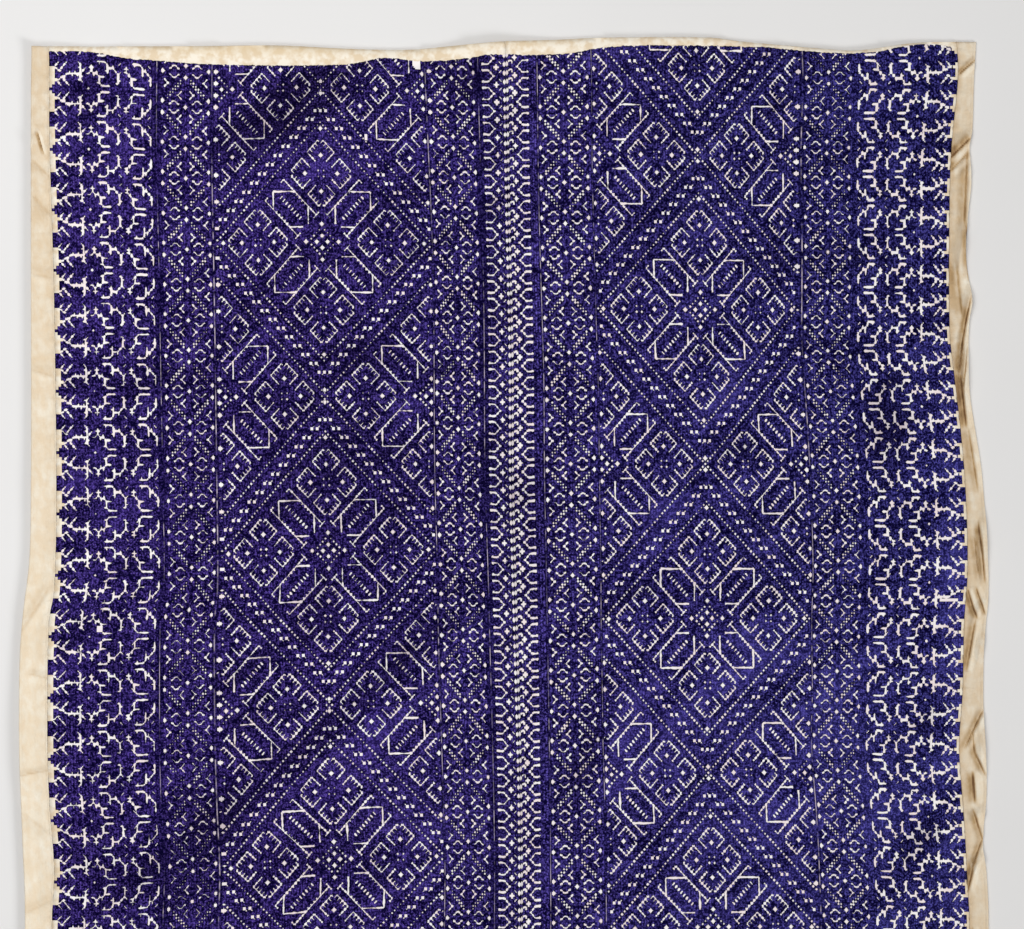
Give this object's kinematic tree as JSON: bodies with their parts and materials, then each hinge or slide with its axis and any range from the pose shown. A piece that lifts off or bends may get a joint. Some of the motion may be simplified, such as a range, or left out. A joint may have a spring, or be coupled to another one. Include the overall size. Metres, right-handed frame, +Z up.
{
  "type": "fez embroidery panel",
  "caption": "Long flat panel of cotton cloth worked all over in indigo silk counted stitch, joined down the middle and edged with plain cotton strips.",
  "frame": {"origin": "on the surface that the panel lies on, under the middle of the panel", "axes": "+Z up, out of the embroidered face; +Y along the panel towards its top edge; +X to the right across the panel"},
  "size_m": [0.484, 0.9502, 0.0046],
  "materials": {
    "embroidered_cloth": "dense indigo silk stitches with a soft sheen over cream cotton",
    "plain_cotton": "matt plain-weave cream cotton, slightly creased"
  },
  "bodies": {
    "root": {"left_width": "embroidered_cloth", "right_width": "embroidered_cloth", "left_edging": "plain_cotton", "right_edging": "plain_cotton"}
  },
  "joints": []
}
